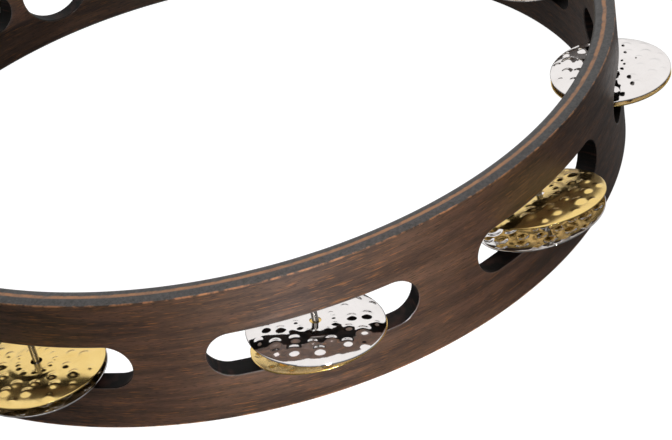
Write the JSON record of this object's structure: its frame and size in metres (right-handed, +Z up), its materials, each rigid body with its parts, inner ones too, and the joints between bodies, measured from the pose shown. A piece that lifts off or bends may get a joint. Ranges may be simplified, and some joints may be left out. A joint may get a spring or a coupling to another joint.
{
  "type": "tambourine",
  "caption": "Headless wooden hoop tambourine, shaken or struck so that pairs of hammered metal jingles slide and ring on pins in its slots, with a round grip hole.",
  "frame": {"origin": "centre of the lower edge's plane, on the hoop's axis", "axes": "+Z up along the hoop's axis, from the edge it rests on; +Y through the middle of the grip hole"},
  "size_m": [0.284, 0.2693, 0.042],
  "materials": {
    "stained_veneer": "walnut stain under satin lacquer",
    "core_plies": "dark painted edge, sanded through to the wood along the crest",
    "pin_steel": "bright drawn steel",
    "brass_jingle": "hammered and polished",
    "nickel_jingle": "hammered, bright nickel plate"
  },
  "bodies": {
    "hoop": {"core_plies": "core_plies", "outer_veneer": "stained_veneer", "inner_veneer": "stained_veneer", "pin_01": "pin_steel", "pin_02": "pin_steel", "pin_03": "pin_steel", "pin_04": "pin_steel", "pin_05": "pin_steel", "pin_06": "pin_steel", "pin_07": "pin_steel", "pin_08": "pin_steel", "pin_09": "pin_steel", "pin_10": "pin_steel"},
    "lower_jingle_01": {"lower_jingle_01": "brass_jingle"},
    "upper_jingle_01": {"upper_jingle_01": "nickel_jingle"},
    "lower_jingle_02": {"lower_jingle_02": "nickel_jingle"},
    "upper_jingle_02": {"upper_jingle_02": "brass_jingle"},
    "lower_jingle_03": {"lower_jingle_03": "brass_jingle"},
    "upper_jingle_03": {"upper_jingle_03": "nickel_jingle"},
    "lower_jingle_04": {"lower_jingle_04": "nickel_jingle"},
    "upper_jingle_04": {"upper_jingle_04": "brass_jingle"},
    "lower_jingle_05": {"lower_jingle_05": "brass_jingle"},
    "upper_jingle_05": {"upper_jingle_05": "nickel_jingle"},
    "lower_jingle_06": {"lower_jingle_06": "nickel_jingle"},
    "upper_jingle_06": {"upper_jingle_06": "brass_jingle"},
    "lower_jingle_07": {"lower_jingle_07": "brass_jingle"},
    "upper_jingle_07": {"upper_jingle_07": "nickel_jingle"},
    "lower_jingle_08": {"lower_jingle_08": "nickel_jingle"},
    "upper_jingle_08": {"upper_jingle_08": "brass_jingle"},
    "lower_jingle_09": {"lower_jingle_09": "brass_jingle"},
    "upper_jingle_09": {"upper_jingle_09": "nickel_jingle"},
    "lower_jingle_10": {"lower_jingle_10": "nickel_jingle"},
    "upper_jingle_10": {"upper_jingle_10": "brass_jingle"}
  },
  "joints": [
    {"name": "lower_slide_01", "type": "slide", "parent": "hoop", "child": "lower_jingle_01", "axis": [0, 0, 1], "range_m": [0, 0.0038]},
    {"name": "upper_slide_01", "type": "slide", "parent": "lower_jingle_01", "child": "upper_jingle_01", "axis": [0, 0, 1], "range_m": [0, 0.0038]},
    {"name": "lower_slide_02", "type": "slide", "parent": "hoop", "child": "lower_jingle_02", "axis": [0, 0, 1], "range_m": [0, 0.003]},
    {"name": "upper_slide_02", "type": "slide", "parent": "lower_jingle_02", "child": "upper_jingle_02", "axis": [0, 0, 1], "range_m": [0, 0.003]},
    {"name": "lower_slide_03", "type": "slide", "parent": "hoop", "child": "lower_jingle_03", "axis": [0, 0, 1], "range_m": [0, 0.0038]},
    {"name": "upper_slide_03", "type": "slide", "parent": "lower_jingle_03", "child": "upper_jingle_03", "axis": [0, 0, 1], "range_m": [0, 0.0038]},
    {"name": "lower_slide_04", "type": "slide", "parent": "hoop", "child": "lower_jingle_04", "axis": [0, 0, 1], "range_m": [0, 0.0034]},
    {"name": "upper_slide_04", "type": "slide", "parent": "lower_jingle_04", "child": "upper_jingle_04", "axis": [0, 0, 1], "range_m": [0, 0.0034]},
    {"name": "lower_slide_05", "type": "slide", "parent": "hoop", "child": "lower_jingle_05", "axis": [0, 0, 1], "range_m": [0, 0.0015]},
    {"name": "upper_slide_05", "type": "slide", "parent": "lower_jingle_05", "child": "upper_jingle_05", "axis": [0, 0, 1], "range_m": [0, 0.0015]},
    {"name": "lower_slide_06", "type": "slide", "parent": "hoop", "child": "lower_jingle_06", "axis": [0, 0, 1], "range_m": [0, 0.0006]},
    {"name": "upper_slide_06", "type": "slide", "parent": "lower_jingle_06", "child": "upper_jingle_06", "axis": [0, 0, 1], "range_m": [-0.0035, 0.0006]},
    {"name": "lower_slide_07", "type": "slide", "parent": "hoop", "child": "lower_jingle_07", "axis": [0, 0, 1], "range_m": [0, 0.0034]},
    {"name": "upper_slide_07", "type": "slide", "parent": "lower_jingle_07", "child": "upper_jingle_07", "axis": [0, 0, 1], "range_m": [-0.0006, 0.0034]},
    {"name": "lower_slide_08", "type": "slide", "parent": "hoop", "child": "lower_jingle_08", "axis": [0, 0, 1], "range_m": [0, 0.0036]},
    {"name": "upper_slide_08", "type": "slide", "parent": "lower_jingle_08", "child": "upper_jingle_08", "axis": [0, 0, 1], "range_m": [0, 0.0036]},
    {"name": "lower_slide_09", "type": "slide", "parent": "hoop", "child": "lower_jingle_09", "axis": [0, 0, 1], "range_m": [0, 0.0029]},
    {"name": "upper_slide_09", "type": "slide", "parent": "lower_jingle_09", "child": "upper_jingle_09", "axis": [0, 0, 1], "range_m": [0, 0.0029]},
    {"name": "lower_slide_10", "type": "slide", "parent": "hoop", "child": "lower_jingle_10", "axis": [0, 0, 1], "range_m": [0, 0.0035]},
    {"name": "upper_slide_10", "type": "slide", "parent": "lower_jingle_10", "child": "upper_jingle_10", "axis": [0, 0, 1], "range_m": [0, 0.0035]}
  ]
}
